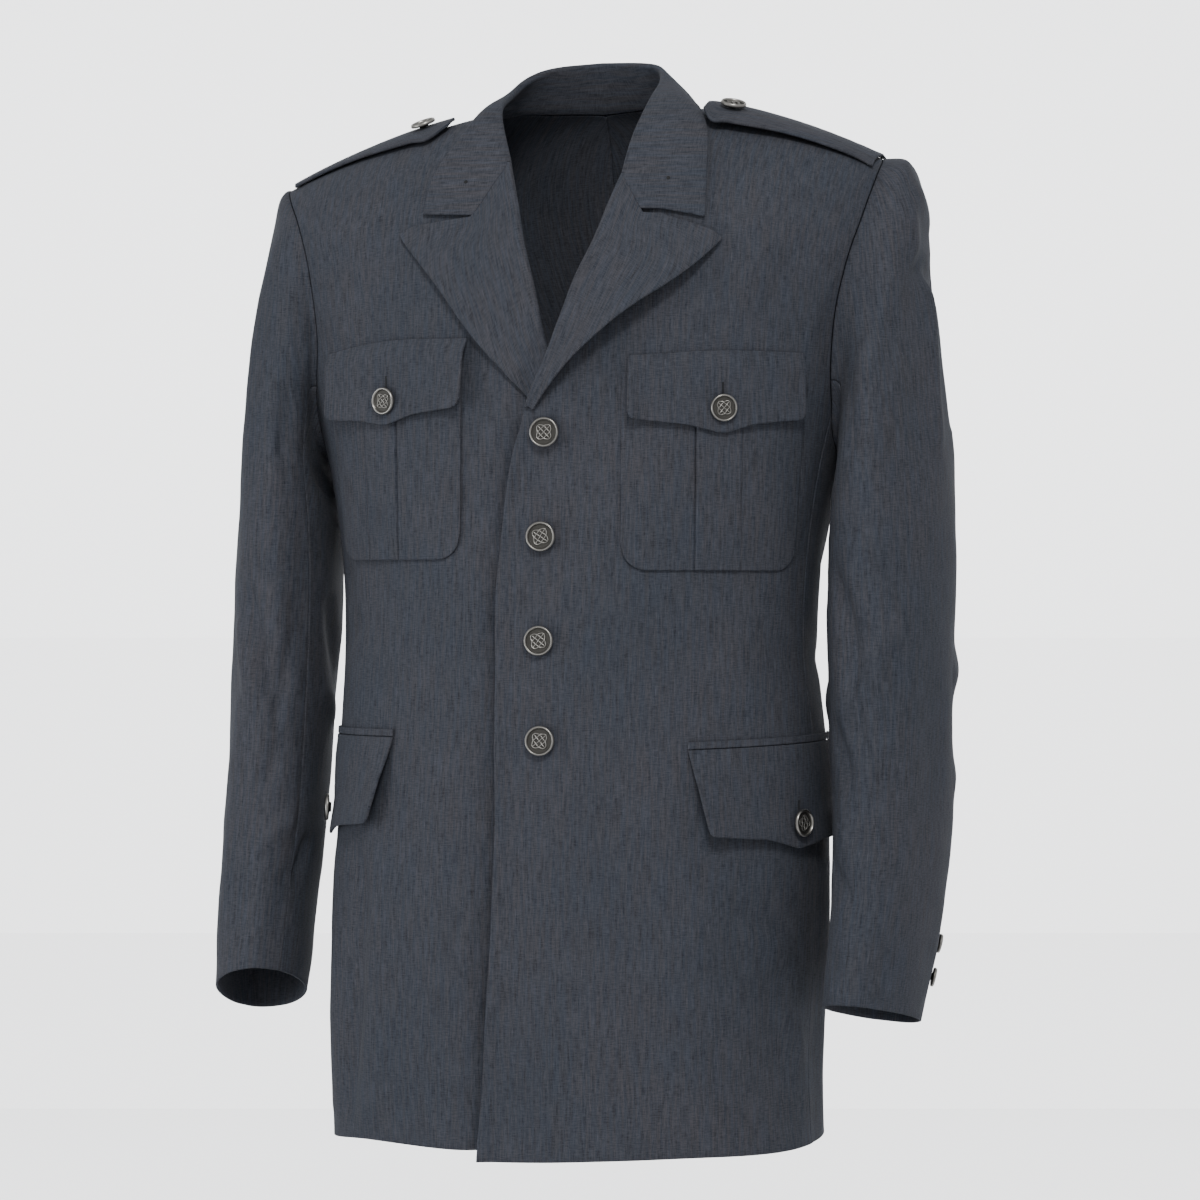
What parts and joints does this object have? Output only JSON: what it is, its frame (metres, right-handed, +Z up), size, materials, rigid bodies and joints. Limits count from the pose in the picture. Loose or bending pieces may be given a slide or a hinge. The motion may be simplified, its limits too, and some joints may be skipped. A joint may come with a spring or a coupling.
{
  "type": "dress uniform jacket",
  "caption": "Single-breasted dress uniform jacket in wool cloth, worn shape, open at neck, hem and cuffs, with peaked lapels, patch pockets and shoulder straps.",
  "frame": {"origin": "in the middle between the two points where the shoulder seams meet the neck, where the wearer's shoulders hold the jacket", "axes": "+Z up toward the collar, -Y to the front, +X to the wearer's left"},
  "size_m": [0.5805, 0.28, 0.853],
  "materials": {
    "wool_cloth": "matte blue-grey melange wool",
    "button_metal": "antique silver, dark in its recesses"
  },
  "bodies": {
    "root": {"front_left": "wool_cloth", "side_left": "wool_cloth", "back_left": "wool_cloth", "sleeve_upper_left": "wool_cloth", "sleeve_under_left": "wool_cloth", "lapel_left": "wool_cloth", "chest_pocket_left": "wool_cloth", "chest_flap_left": "wool_cloth", "hip_welt_left": "wool_cloth", "hip_flap_left": "wool_cloth", "shoulder_strap_left": "wool_cloth", "front_right": "wool_cloth", "side_right": "wool_cloth", "back_right": "wool_cloth", "sleeve_upper_right": "wool_cloth", "sleeve_under_right": "wool_cloth", "lapel_right": "wool_cloth", "chest_pocket_right": "wool_cloth", "chest_flap_right": "wool_cloth", "hip_welt_right": "wool_cloth", "hip_flap_right": "wool_cloth", "shoulder_strap_right": "wool_cloth", "collar": "wool_cloth", "chest_button_left": "button_metal", "hip_button_left": "button_metal", "strap_button_left": "button_metal", "cuff_button_left_1": "button_metal", "cuff_button_left_2": "button_metal", "chest_button_right": "button_metal", "hip_button_right": "button_metal", "strap_button_right": "button_metal", "cuff_button_right_1": "button_metal", "cuff_button_right_2": "button_metal", "front_button_1": "button_metal", "front_button_2": "button_metal", "front_button_3": "button_metal", "front_button_4": "button_metal"}
  },
  "joints": []
}
